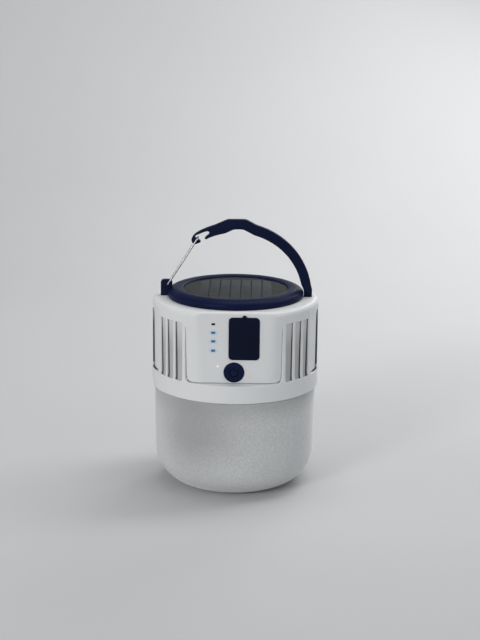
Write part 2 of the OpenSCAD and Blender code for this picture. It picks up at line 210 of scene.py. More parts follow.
def mixc(nt, fac, a, b, mode="MIX"):
    n = nt.nodes.new("ShaderNodeMix")
    n.data_type = "RGBA"
    n.blend_type = mode
    if isinstance(fac, (int, float)):
        n.inputs["Factor"].default_value = fac
    else:
        nt.links.new(fac, n.inputs["Factor"])
    for k, v in (("A", a), ("B", b)):
        s = [i for i in n.inputs if i.name == k and i.type == "RGBA"][0]
        if isinstance(v, tuple):
            s.default_value = (*v, 1) if len(v) == 3 else v
        else:
            nt.links.new(v, s)
    return [o for o in n.outputs if o.type == "RGBA"][0]


def bump(nt, b, height, strength, dist):
    n = nt.nodes.new("ShaderNodeBump")
    n.inputs["Strength"].default_value = strength
    n.inputs["Distance"].default_value = dist
    nt.links.new(height, n.inputs["Height"])
    nt.links.new(n.outputs[0], b.inputs["Normal"])
    return n


def sep(nt, vec):
    s = nt.nodes.new("ShaderNodeSeparateXYZ")
    nt.links.new(vec, s.inputs[0])
    return s.outputs


def plastic(name, col, rough=0.4, grain=2200, grain_h=0.00003, vary=0.06, spec=0.5, wear=None, coat=0.0, sheen=0.0):
    """Moulded plastic or rubber: fine spark-eroded grain, slow colour drift, faint scuffs, lighter worn edges."""
    m, nt, b, out = nt_new(name)
    v = coords(nt)
    drift = noise(nt, v, 28, 2)
    lo = tuple(c * (1 - vary) for c in col)
    hi = tuple(min(1, c * (1 + vary)) for c in col)
    c = ramp(nt, drift, [(0.3, lo), (0.7, hi)])
    geo = nt.nodes.new("ShaderNodeNewGeometry")
    if wear:
        edge = maprange(nt, geo.outputs["Pointiness"], 0.52, 0.62, 0.0, 0.55)
        c = mixc(nt, edge, c, wear)
    nt.links.new(c, b.inputs["Base Color"])
    scuff = noise(nt, v, 420, 4, 0.65)
    r = maprange(nt, scuff, 0.3, 0.75, rough - 0.07, rough + 0.09)
    nt.links.new(r, b.inputs["Roughness"])
    b.inputs["Specular IOR Level"].default_value = spec
    b.inputs["Coat Weight"].default_value = coat
    b.inputs["Coat Roughness"].default_value = 0.15
    b.inputs["Sheen Weight"].default_value = sheen
    g = noise(nt, v, grain, 2, 0.6)
    bump(nt, b, g, 0.35, grain_h)
    return m, nt, b, out


def metal(name, col, rough=0.28, scale=(60, 60, 2600), bump_d=0.00001):
    m, nt, b, out = nt_new(name)
    v = coords(nt)
    mp = nt.nodes.new("ShaderNodeMapping")
    mp.inputs["Scale"].default_value = scale
    nt.links.new(v, mp.inputs["Vector"])
    n = noise(nt, mp.outputs[0], 1.0, 4, 0.6)
    c = ramp(nt, n, [(0.25, tuple(x * 0.86 for x in col)), (0.75, tuple(min(1, x * 1.08) for x in col))])
    nt.links.new(c, b.inputs["Base Color"])
    b.inputs["Metallic"].default_value = 1.0
    nt.links.new(maprange(nt, n, 0.2, 0.8, rough - 0.08, rough + 0.1), b.inputs["Roughness"])
    bump(nt, b, n, 0.2, bump_d)
    return m


MAT = {}
NAVY_RING = (0.0046, 0.0088, 0.038)
NAVY_ARM = (0.0046, 0.0088, 0.035)
NAVY_DARK = (0.0036, 0.0060, 0.0210)


def set_mat(ob, m):
    ob.data.materials.clear()
    ob.data.materials.append(m)
    for p in ob.data.polygons:
        p.material_index = 0


# white ABS shell, with the blue of the lit lamps bleeding into the plastic round each window
LAMP_X = -11.05
LAMPS = [SH - 11.3, SH - 16.0, SH - 21.1]
DASH_Z = SH - 6.6


def shell_material():
    m, nt, b, out = plastic("shell_abs", (0.70, 0.715, 0.725), rough=0.42, grain=2600, grain_h=0.00002, vary=0.012, spec=0.45)
    v = coords(nt)
    s = sep(nt, v)
    base = b.inputs["Base Color"].links[0].from_socket
    total = None
    for z in LAMPS:
        dx = math_n(nt, "MULTIPLY", math_n(nt, "SUBTRACT", s[0], LAMP_X * MM), 1 / (2.35 * MM))
        dz = math_n(nt, "MULTIPLY", math_n(nt, "SUBTRACT", s[2], z * MM), 1 / (1.65 * MM))
        d = math_n(nt, "SQRT", math_n(nt, "ADD", math_n(nt, "MULTIPLY", dx, dx), math_n(nt, "MULTIPLY", dz, dz)))
        g = maprange(nt, d, 0.35, 1.25, 1.0, 0.0, True)
        total = g if total is None else math_n(nt, "MAXIMUM", total, g)
    front = maprange(nt, s[1], -0.0405, -0.0395, 1.0, 0.0)
    total = math_n(nt, "MULTIPLY", total, front, True)
    col = mixc(nt, math_n(nt, "MULTIPLY", total, 0.58), base, (0.34, 0.52, 0.70))
    nt.links.new(col, b.inputs["Base Color"])
    b.inputs["Emission Color"].default_value = (0.35, 0.62, 1.0, 1)
    nt.links.new(math_n(nt, "MULTIPLY", total, 0.05), b.inputs["Emission Strength"])
    b.inputs["Subsurface Weight"].default_value = 0.06
    b.inputs["Subsurface Radius"].default_value = (1, 1, 1)
    b.inputs["Subsurface Scale"].default_value = 0.0012
    return m


MAT["shell"] = shell_material()


def groove_shade_material():
    """Floor of the grip grooves: painted shade, a darker grey that fades into the shell colour towards the top."""
    # painted shade: the grey stands for the shade inside the grooves
    m, nt, b, out = plastic("groove_painted_shade", (0.45, 0.455, 0.46), rough=0.5, grain=1500, grain_h=0.00004, vary=0.03, spec=0.3)
    s = sep(nt, coords(nt))
    base = b.inputs["Base Color"].links[0].from_socket
    up = maprange(nt, s[2], (SH - 24) * MM, (SH - 7.4) * MM, 0.0, 0.62, True)
    nt.links.new(mixc(nt, up, base, (0.69, 0.70, 0.71)), b.inputs["Base Color"])
    return m


MAT["groove"] = groove_shade_material()


def gap_shade_material():
    """Foot of the steps and the shadow gaps round the panels: painted shade, dark and dull, lighter towards the top."""
    # painted shade: a dark colour put where shade falls in the gaps and at the step feet
    m, nt, b, out = plastic("gap_painted_shade", (0.105, 0.107, 0.11), rough=0.75, grain=900, grain_h=0.00004, vary=0.12, spec=0.1)
    s = sep(nt, coords(nt))
    base = b.inputs["Base Color"].links[0].from_socket
    up = maprange(nt, s[2], (SH - 16) * MM, (SH - 7.4) * MM, 0.0, 0.35, True)
    nt.links.new(mixc(nt, up, base, (0.55, 0.56, 0.57)), b.inputs["Base Color"])
    return m


MAT["gap"] = gap_shade_material()
MAT["ring"] = plastic("ring_navy", NAVY_RING, rough=0.44, grain=2400, grain_h=0.000025, vary=0.10, spec=0.07, wear=(0.010, 0.017, 0.060))[0]
MAT["arm"] = plastic("handle_nylon", NAVY_ARM, rough=0.46, grain=2100, grain_h=0.00003, vary=0.12, spec=0.08, wear=(0.010, 0.015, 0.045))[0]
MAT["cover"] = plastic("cover_silicone", NAVY_DARK, rough=0.56, grain=1800, grain_h=0.00003, vary=0.12, spec=0.08, wear=(0.008, 0.012, 0.032))[0]
MAT["button"] = plastic("button_silicone", (0.0046, 0.0092, 0.036), rough=0.50, grain=1900, grain_h=0.000025, vary=0.12, spec=0.08, wear=(0.012, 0.020, 0.065))[0]
MAT["symbol"] = plastic("symbol_recess", (0.0010, 0.0014, 0.0040), rough=0.7, vary=0.2, spec=0.05)[0]
MAT["black"] = plastic("black_moulding", (0.018, 0.018, 0.020), rough=0.4, vary=0.15)[0]
MAT["seal"] = plastic("seal_rubber", (0.022, 0.022, 0.024), rough=0.6, vary=0.2, spec=0.3)[0]
MAT["cream"] = plastic("plunger_cream", (0.72, 0.69, 0.58), rough=0.35, vary=0.04)[0]
MAT["cradle"] = plastic("cradle_moulding", (0.05, 0.052, 0.056), rough=0.45, vary=0.12)[0]
MAT["reflector"] = plastic("reflector_white", (0.86, 0.87, 0.87), rough=0.22, vary=0.01)[0]
MAT["wire_red"] = plastic("lead_pvc_red", (0.36, 0.018, 0.016), rough=0.32, vary=0.1)[0]
MAT["wire_black"] = plastic("lead_pvc_black", (0.02, 0.02, 0.021), rough=0.32, vary=0.1)[0]
MAT["steel_wire"] = metal("drawn_wire", (0.42, 0.425, 0.44), 0.26, (2400, 2400, 2400), 0.000002)
MAT["screw"] = metal("zinc_screw", (0.58, 0.585, 0.60), 0.32, (900, 900, 900))
MAT["socket"] = metal("tinned_socket", (0.66, 0.665, 0.67), 0.26, (90, 2200, 90))
MAT["plate"] = metal("sheet_aluminium", (0.74, 0.745, 0.75), 0.34, (60, 2400, 60))


def frosted_material():
    """Frosted polycarbonate: fine grain in and on the wall, light passing through it, a paler edge band, painted shade
    darkening it towards the seam at its top, and a painted shadow on the upper left of its front.
    """
    m, nt, b, out = nt_new("frosted_cup")
    v = coords(nt)
    s = sep(nt, v)
    speck = noise(nt, v, 1500, 3, 0.7)
    cloud = noise(nt, v, 24, 2)
    c = ramp(nt, speck, [(0.30, (0.46, 0.475, 0.48)), (0.70, (0.74, 0.755, 0.76))])
    c = mixc(nt, maprange(nt, cloud, 0.3, 0.7, 0.0, 0.22), c, (0.44, 0.45, 0.455))
    # painted shade: darker towards the top, under the seam with the housing
    c = mixc(nt, maprange(nt, s[2], 0.042, 0.0562, 0.0, 0.48, True), c, (0.28, 0.29, 0.295))
    # painted shadow: a soft dark patch round a point on the upper left of the front, as if cast by the parts inside
    vd = nt.nodes.new("ShaderNodeVectorMath")
    vd.operation = "DISTANCE"
    nt.links.new(v, vd.inputs[0])
    vd.inputs[1].default_value = (-0.0215, -0.0380, 0.0400)
    c = mixc(nt, maprange(nt, vd.outputs["Value"], 0.004, 0.036, 0.62, 0.0, True), c, (0.25, 0.255, 0.255))
    nt.links.new(c, b.inputs["Base Color"])
    b.inputs["Roughness"].default_value = 0.42
    b.inputs["IOR"].default_value = 1.46
    b.inputs["Subsurface Weight"].default_value = 0.45
    b.inputs["Sheen Weight"].default_value = 0.6
    b.inputs["Sheen Roughness"].default_value = 0.35
    b.inputs["Subsurface Radius"].default_value = (1.0, 1.0, 1.05)
    b.inputs["Subsurface Scale"].default_value = 0.006
    b.inputs["Specular IOR Level"].default_value = 0.42
    bump(nt, b, speck, 0.25, 0.00004)
    return m


MAT["frost"] = frosted_material()


def panel_materials():
    # carrier board under the cells
    m, nt, b, out = nt_new("panel_carrier")
    v = coords(nt)
    n = noise(nt, v, 700, 3)
    nt.links.new(ramp(nt, n, [(0.3, (0.034, 0.037, 0.032)), (0.7, (0.044, 0.047, 0.041))]), b.inputs["Base Color"])
    s = sep(nt, v)
    ax = maprange(nt, math_n(nt, "ABSOLUTE", s[0]), 0.0200, 0.0204, 1.0, 0.0)
    ay = maprange(nt, math_n(nt, "ABSOLUTE", s[1]), 0.0216, 0.0220, 1.0, 0.0)
    olive = b.inputs["Base Color"].links[0].from_socket
    nt.links.new(mixc(nt, math_n(nt, "MULTIPLY", ax, ay), olive, (0.004, 0.005, 0.006)), b.inputs["Base Color"])
    b.inputs["Roughness"].default_value = 0.7
    b.inputs["Specular IOR Level"].default_value = 0.03
    MAT["carrier"] = m
    # cells: strips with fine fingers across and busbars along
    m, nt, b, out = nt_new("cell_strip")
    v = coords(nt)
    s = sep(nt, v)
    fx = math_n(nt, "FRACT", math_n(nt, "MULTIPLY", s[0], 1 / (0.83 * MM)))
    finger = maprange(nt, math_n(nt, "ABSOLUTE", math_n(nt, "SUBTRACT", fx, 0.5)), 0.40, 0.46, 0.0, 1.0)
    fy = math_n(nt, "FRACT", math_n(nt, "MULTIPLY", s[1], 1 / (7.2 * MM)))
    bus = maprange(nt, math_n(nt, "ABSOLUTE", math_n(nt, "SUBTRACT", fy, 0.5)), 0.465, 0.48, 0.0, 1.0)
    grain = noise(nt, v, 520, 3)
    strip = math_n(nt, "ADD", math_n(nt, "MULTIPLY", s[0], 1 / (5.8 * MM)), 0.5)
    idx = nt.nodes.new("ShaderNodeTexWhiteNoise")
    idx.noise_dimensions = "1D"
    nt.links.new(math_n(nt, "FLOOR", strip), idx.inputs["W"])
    tone = maprange(nt, idx.outputs["Value"], 0, 1, 0.82, 1.15)
    c = ramp(nt, grain, [(0.3, (0.030, 0.036, 0.042)), (0.7, (0.046, 0.054, 0.061))])
    c = mixc(nt, 1.0, c, (1, 1, 1), "MULTIPLY")
    cc = nt.nodes.new("ShaderNodeHueSaturation")
    nt.links.new(c, cc.inputs["Color"])
    nt.links.new(tone, cc.inputs["Value"])
    c = mixc(nt, math_n(nt, "MULTIPLY", finger, 0.30), cc.outputs[0], (0.12, 0.13, 0.135))
    c = mixc(nt, math_n(nt, "MULTIPLY", bus, 0.35), c, (0.26, 0.27, 0.27))
    nt.links.new(c, b.inputs["Base Color"])
    b.inputs["Roughness"].default_value = 0.55
    b.inputs["Specular IOR Level"].default_value = 0.04
    MAT["cell"] = m
    # clear laminate
    m, nt, b, out = nt_new("laminate")
    v = coords(nt)
    b.inputs["Base Color"].default_value = (0.05, 0.06, 0.065, 1)
    b.inputs["Alpha"].default_value = 0.07
    b.inputs["IOR"].default_value = 1.40
    n = noise(nt, v, 900, 3)
    nt.links.new(maprange(nt, n, 0.3, 0.7, 0.04, 0.09), b.inputs["Roughness"])
    bump(nt, b, n, 0.2, 0.00001)
    MAT["laminate"] = m


panel_materials()


def lamp_materials():
    # lit lamp: deeper blue at the middle of the window, paler to its rim
    m, nt, b, out = nt_new("lamp_lit")
    v = coords(nt)
    s = sep(nt, v)
    zf = None
    for z in LAMPS:
        dx = math_n(nt, "MULTIPLY", math_n(nt, "SUBTRACT", s[0], LAMP_X * MM), 1 / (1.15 * MM))
        dz = math_n(nt, "MULTIPLY", math_n(nt, "SUBTRACT", s[2], z * MM), 1 / (0.68 * MM))
        d = math_n(nt, "SQRT", math_n(nt, "ADD", math_n(nt, "MULTIPLY", dx, dx), math_n(nt, "MULTIPLY", dz, dz)))
        zf = d if zf is None else math_n(nt, "MINIMUM", zf, d)
    c = ramp(nt, maprange(nt, zf, 0, 1.2, 0, 1), [(0.0, (0.030, 0.085, 0.18)), (0.6, (0.045, 0.13, 0.25)), (1.0, (0.14, 0.27, 0.42))])
    nt.links.new(c, b.inputs["Base Color"])
    nt.links.new(c, b.inputs["Emission Color"])
    b.inputs["Emission Strength"].default_value = 0.30
    b.inputs["Roughness"].default_value = 0.25
    MAT["lamp"] = m
    m, nt, b, out = nt_new("lamp_dark")
    v = coords(nt)
    nt.links.new(ramp(nt, noise(nt, v, 900, 2), [(0.3, (0.001, 0.001, 0.0012)), (0.7, (0.002, 0.002, 0.0024))]), b.inputs["Base Color"])
    b.inputs["Specular IOR Level"].default_value = 0.1
    b.inputs["Roughness"].default_value = 0.3
    MAT["dark"] = m
    m, nt, b, out = nt_new("milky_lens")
    v = coords(nt)
    nt.links.new(ramp(nt, noise(nt, v, 900, 2), [(0.3, (0.90, 0.91, 0.92)), (0.7, (0.96, 0.97, 0.97))]), b.inputs["Base Color"])
    b.inputs["Roughness"].default_value = 0.2
    b.inputs["Emission Color"].default_value = (1, 1, 1, 1)
    b.inputs["Emission Strength"].default_value = 0.25
    MAT["milky"] = m
    m, nt, b, out = nt_new("phosphor_chip")
    v = coords(nt)
    nt.links.new(ramp(nt, noise(nt, v, 1200, 3), [(0.3, (0.80, 0.70, 0.30)), (0.7, (0.88, 0.80, 0.42))]), b.inputs["Base Color"])
    b.inputs["Roughness"].default_value = 0.3
    MAT["chip"] = m


lamp_materials()


def board_material(name, base, trace):
    """Printed board: copper tracks under the mask, as a slightly lighter maze, and a fine weave."""
    m, nt, b, out = nt_new(name)
    v = coords(nt)
    br = nt.nodes.new("ShaderNodeTexBrick")
    br.inputs["Scale"].default_value = 320
    br.inputs["Mortar Size"].default_value = 0.03
    br.inputs["Color1"].default_value = (0, 0, 0, 1)
    br.inputs["Color2"].default_value = (0.25, 0.25, 0.25, 1)
    br.inputs["Mortar"].default_value = (1, 1, 1, 1)
    mp = nt.nodes.new("ShaderNodeMapping")
    mp.inputs["Rotation"].default_value = (radians(90), 0, 0)
    nt.links.new(v, mp.inputs["Vector"])
    nt.links.new(mp.outputs[0], br.inputs["Vector"])
    f = math_n(nt, "MULTIPLY", br.outputs["Fac"], 0.8)
    w = noise(nt, v, 2000, 2)
    c = mixc(nt, f, base, trace)
    c = mixc(nt, maprange(nt, w, 0.3, 0.7, 0, 0.15), c, trace)
    nt.links.new(c, b.inputs["Base Color"])
    b.inputs["Roughness"].default_value = 0.28
    b.inputs["Coat Weight"].default_value = 0.2
    return m


MAT["pcb"] = board_material("board_green", (0.012, 0.085, 0.035), (0.03, 0.16, 0.06))
MAT["pcb_white"] = board_material("board_white", (0.80, 0.81, 0.81), (0.70, 0.71, 0.70))


def wrap_material():
    m, nt, b, out = nt_new("cell_wrap")
    v = coords(nt)
    s = sep(nt, v)
    n = noise(nt, v, 60, 3)
    c = ramp(nt, n, [(0.3, (0.030, 0.16, 0.11)), (0.7, (0.045, 0.20, 0.14))])
    ends = maprange(nt, math_n(nt, "ABSOLUTE", s[0]), 0.0312, 0.0316, 0.0, 1.0)
    c = mixc(nt, ends, c, (0.50, 0.51, 0.52))
    nt.links.new(c, b.inputs["Base Color"])
    b.inputs["Roughness"].default_value = 0.25
    b.inputs["Coat Weight"].default_value = 0.4
    w = nt.nodes.new("ShaderNodeTexWave")
    w.inputs["Scale"].default_value = 90
    w.inputs["Distortion"].default_value = 6
    nt.links.new(v, w.inputs["Vector"])
    bump(nt, b, w.outputs["Fac"], 0.15, 0.00008)
    return m


MAT["wrap"] = wrap_material()


def floor_material():
    m, nt, b, out = nt_new("floor_pale")
    v = coords(nt)
    n = noise(nt, v, 3, 3)
    nt.links.new(ramp(nt, n, [(0.3, (0.56, 0.565, 0.57)), (0.7, (0.585, 0.59, 0.595))]), b.inputs["Base Color"])
    b.inputs["Roughness"].default_value = 0.7
    b.inputs["Specular IOR Level"].default_value = 0.25
    return m


set_mat(floor, floor_material())

CAD_MAT = {
    "diffuser": "frost", "diffuser_seal": "seal", "housing": "shell", "top_ring": "ring", "panel_seal": "seal",
    "panel_board": "carrier", "solar_cells": "cell", "panel_cover": "laminate", "handle_arm": "arm", "gate_lug": "arm",
    "wire_gate": "steel_wire", "handle_screws": "screw", "handle_washers": "screw", "ring_screws": "screw",
    "port_cover": "cover", "cover_tether": "cover", "power_button": "button", "tact_switch": "black",
    "tact_plunger": "cream", "light_guide": "lamp", "charge_window": "dark", "status_lens": "milky",
    "main_board": "pcb", "usb_a_socket": "socket", "charge_socket": "socket", "indicator_leds": "chip",
    "board_components": "black", "board_screws": "screw", "battery_cell": "wrap", "battery_cap": "socket",
    "battery_cradle": "cradle", "led_plate": "plate", "led_board": "pcb_white", "led_chips": "chip",
    "plate_screws": "screw", "reflector": "reflector", "solar_leads": "wire_red", "battery_leads": "wire_red",
    "led_leads": "wire_black"}
for n, k in CAD_MAT.items():
    set_mat(NODES[n], MAT[k])

# ---------------------------------------------------------------- mesh helpers
def mesh_from(name, vs, fs, body, mat, smooth=True, slot=None):
    me = bpy.data.meshes.new(name)
    me.from_pydata([tuple(c * MM for c in v) for v in vs], [], fs)
    me.validate()
    me.update()
    bm = bmesh.new()
    bm.from_mesh(me)
    bmesh.ops.remove_doubles(bm, verts=bm.verts, dist=1e-7)
    bmesh.ops.recalc_face_normals(bm, faces=bm.faces)
    bm.to_mesh(me)
    bm.free()
    for p in me.polygons:
        p.use_smooth = smooth
    ob = new_obj(name, me)
    ob.data.materials.append(mat)
    return ob


def apply_mods(ob):
    dg = bpy.context.evaluated_depsgraph_get()
    dg.update()
    ev = ob.evaluated_get(dg)
    me = bpy.data.meshes.new_from_object(ev)
    old = ob.data
    ob.modifiers.clear()
    ob.data = me
    bpy.data.meshes.remove(old)
    return ob


def smooth_angle(ob, deg=35):
    for p in ob.data.polygons:
        p.use_smooth = True
    me = ob.data
    bm = bmesh.new()
    bm.from_mesh(me)
    lim = radians(deg)
    for e in bm.edges:
        if len(e.link_faces) == 2:
            e.smooth = e.calc_face_angle(0) < lim
        else:
            e.smooth = False
    bm.to_mesh(me)
    bm.free()
    return ob


def boolean(ob, cutters, op="DIFFERENCE", self_cross=False):
    for c in cutters:
        md = ob.modifiers.new("b", "BOOLEAN")
        md.use_self = self_cross
        md.operation = op
        md.solver = "EXACT"
        md.object = c
    apply_mods(ob)
    for c in cutters:
        me = c.data
        bpy.data.objects.remove(c)
        bpy.data.meshes.remove(me)
    return ob


def prism(name, outline, y0, y1):
    """Closed prism of a front-view outline (x, z), between depths y0 and y1, mm."""
    n = len(outline)
    vs = [(x, y0, z) for x, z in outline] + [(x, y1, z) for x, z in outline]
    fs = [tuple(range(n)), tuple(range(2 * n - 1, n - 1, -1))]
    fs += [(i, (i + 1) % n, n + (i + 1) % n, n + i) for i in range(n)]
    return mesh_from(name, vs, fs, None, MAT["black"], smooth=False)


def rrect_pts(cx, cz, w, h, r, n=8):
    pts = []
    for k, (sx, sz) in enumerate([(1, 1), (-1, 1), (-1, -1), (1, -1)]):
        for i in range(n + 1):
            a = radians(90 * k + 90 * i / n)
            pts.append((cx + sx * (w / 2 - r) + r * cos(a), cz + sz * (h / 2 - r) + r * sin(a)))
    return pts


def circle_pts(cx, cz, r, n=64):
    return [(cx + r * cos(2 * pi * i / n), cz + r * sin(2 * pi * i / n)) for i in range(n)]


def lathe(name, prof, mat, n=256, closed=False):
    """Turns a profile of (r, z) points about the Z axis, mm. closed joins its last point to its first."""
    vs, fs = [], []
    m = len(prof)
    for i in range(n):
        a = 2 * pi * i / n
        for r, z in prof:
            vs.append((r * cos(a), r * sin(a), z))
    last = m if closed else m - 1
    for i in range(n):
        j = (i + 1) % n
        for k in range(last):
            q = [i * m + k, j * m + k, j * m + (k + 1) % m, i * m + (k + 1) % m]
            if prof[k][0] < 1e-6:
                q = [q[0], q[2], q[3]]
            elif prof[(k + 1) % m][0] < 1e-6:
                q = [q[0], q[1], q[2]]
            fs.append(tuple(q))
    return mesh_from(name, vs, fs, None, mat)


def fillet(pts, radii, n=6):
    """Rounds the corners of an open or closed list of points: radii[i] is the radius at point i, 0 keeps it sharp."""
    out = []
    m = len(pts)
    for i, (p, r) in enumerate(zip(pts, radii)):
        if r <= 0:
            out.append(p)
            continue
        a, c = Vector(pts[(i - 1) % m]), Vector(pts[(i + 1) % m])
        b = Vector(p)
        u, w = (a - b), (c - b)
        lu, lw = u.length, w.length
        u.normalize(); w.normalize()
        ang = u.angle(w)
        t = min(r / math.tan(ang / 2), lu * 0.49, lw * 0.49)
        rr = t * math.tan(ang / 2)
        bis = (u + w).normalized()
        ctr = b + bis * (rr / sin(ang / 2))
        s0 = b + u * t - ctr
        s1 = b + w * t - ctr
        a0, a1 = atan2(s0.y, s0.x), atan2(s1.y, s1.x)
        d = (a1 - a0 + pi) % (2 * pi) - pi
        for k in range(n + 1):
            g = a0 + d * k / n
            out.append((ctr.x + rr * cos(g), ctr.y + rr * sin(g)))
    return out


def soft_prism(outline, levels, axis="y"):
    """Closed prism of a 2-D outline with eased edges. levels is a list of (depth, inset) from one cap to the other."""
    n = len(outline)
    P = np.array(outline, float)
    area2 = np.sum(P[:, 0] * np.roll(P[:, 1], -1) - np.roll(P[:, 0], -1) * P[:, 1])
    if area2 < 0:
        P = P[::-1].copy()
    e = np.roll(P, -1, 0) - P
    e /= np.maximum(np.linalg.norm(e, axis=1, keepdims=True), 1e-9)
    nrm = np.stack([-e[:, 1], e[:, 0]], 1)
    b = nrm + np.roll(nrm, 1, 0)
    b /= np.maximum(np.linalg.norm(b, axis=1, keepdims=True), 1e-9)
    c = np.clip(np.sum(b * nrm, 1), 0.6, 1)
    b = b / c[:, None]
    vs, fs = [], []
    for d, ins in levels:
        Q = P + b * ins
        for u, v in Q:
            vs.append((u, d, v) if axis == "y" else (d, u, v) if axis == "x" else (u, v, d))
    m = len(levels)
    if n > 60:
        # a long concave outline: its caps are cut into triangles here
        for k in (0, m - 1):
            Q = P + b * levels[k][1]
            for t in tessellate_polygon([[Vector((u, v, 0)) for u, v in Q]]):
                fs.append(tuple(k * n + i for i in t))
    else:
        fs.append(tuple(range(n)))
        fs.append(tuple(range((m - 1) * n, m * n))[::-1])
    for k in range(m - 1):
        for i in range(n):
            j = (i + 1) % n
            fs.append((k * n + i, k * n + j, (k + 1) * n + j, (k + 1) * n + i))
    return vs, fs


def eased(d0, d1, r, k=4):
    """Levels of a soft prism from d0 to d1 with both rims rounded at r."""
    lo = [(d0 + r - r * sin(radians(90 * i / k)), r - r * cos(radians(90 * i / k))) for i in range(k, -1, -1)]
    hi = [(d1 - r + r * sin(radians(90 * i / k)), r - r * cos(radians(90 * i / k))) for i in range(k + 1)]
    return lo + hi


def eased_one(d0, d1, r, k=5):
    """As eased, with only the rim at d0 rounded."""
    lo = [(d0 + r - r * sin(radians(90 * i / k)), r - r * cos(radians(90 * i / k))) for i in range(k, -1, -1)]
    return lo + [(d1, 0)]


class Solid:
    """Collects closed shells in millimetres into one object."""
    def __init__(self):
        self.vs, self.fs = [], []

    def add(self, vs, fs):
        o = len(self.vs)
        self.vs += [tuple(v) for v in vs]
        self.fs += [tuple(i + o for i in f) for f in fs]
        return self

    def build(self, name, mat, deg=38):
        me = bpy.data.meshes.new(name)
        me.from_pydata([tuple(c * MM for c in v) for v in self.vs], [], self.fs)
        me.update()
        bm = bmesh.new()
        bm.from_mesh(me)
        bmesh.ops.remove_doubles(bm, verts=bm.verts, dist=1e-8)
        bmesh.ops.recalc_face_normals(bm, faces=bm.faces)
        bm.to_mesh(me)
        bm.free()
        ob = new_obj(name, me)
        me.materials.append(mat)
        if deg:
            smooth_angle(ob, deg)
        return ob


def turned(prof, n=96, closed=True):
    vs, fs = [], []
    m = len(prof)
    for i in range(n):
        a = 2 * pi * i / n
        vs += [(r * cos(a), r * sin(a), z) for r, z in prof]
    for i in range(n):
        j = (i + 1) % n
        for k in range(m if closed else m - 1):
            k2 = (k + 1) % m
            if prof[k][0] < 1e-6 and prof[k2][0] < 1e-6:
                continue
            q = (i * m + k, j * m + k, j * m + k2, i * m + k2)
            if prof[k][0] < 1e-6:
                q = (q[0], q[2], q[3])
            elif prof[k2][0] < 1e-6:
                q = (q[0], q[1], q[2])
            fs.append(q)
    return vs, fs


def along_y(vs, x, z):
    """Takes a shape turned about Z and lays its axis along -Y through (x, z)."""
    return [(x + a, -c, z + b) for a, b, c in vs]


def place(ob, node, body, slot, *more):
    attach(ob, body)
    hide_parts(node, *more)
    return ob


def smin(a, b, k):
    h = np.maximum(k - np.abs(a - b), 0) / k
    return np.minimum(a, b) - h * h * k * 0.25


def sstep(x):
    x = np.clip(x, 0, 1)
    return x * x * (3 - 2 * x)


# ---------------------------------------------------------------- housing
GROOVES = [40.3, 48.7, 57.1]
TOP = SH - 7.2


def rect_mask(A, Z, centre, half, z0, corner, soft=0.13):
    """1 inside a strip of the barrel (angles in degrees from the front), rounded at its lower corners, 0 outside."""
    s = np.abs((A - centre + 180) % 360 - 180) * radians(1) * BR
    hw = half * radians(1) * BR
    qx = s - (hw - corner)
    qz = (z0 + corner) - Z
    d = np.hypot(np.maximum(qx, 0), np.maximum(qz, 0)) + np.minimum(np.maximum(qx, qz), 0) - corner
    return sstep(0.5 - d / (2 * soft)), d


def housing_columns():
    edges = [34.7]
    for g in GROOVES:
        edges += [g - 3.15, g + 3.15]
    edges += [62.5, 82.0]
    cols = set(round(-180 + 1.25 * i, 4) for i in range(288))
    def near(c, w, st):
        k = int(round(w / st))
        for i in range(-k, k + 1):
            for a in (c, -c, 180 - c, c - 180):
                x = round(a + i * st, 4)
                x = (x + 180) % 360 - 180
                cols.add(round(x, 4))
    for e in edges:
        near(e, 0.5, 0.125)
    near(32.4, 2.1, 0.3)
    for e in GROOVES:
        near(e + 2.7, 0.6, 0.15)
    near(79.6, 2.1, 0.3)
    near(63.3, 1.6, 0.4)
    near(27.3, 3.6, 0.6)
    near(27.277, 0, 1)
    c = sorted(cols)
    out = [c[0]]
    for x in c[1:]:
        if x - out[-1] > 0.05:
            out.append(x)
    return np.array(out)


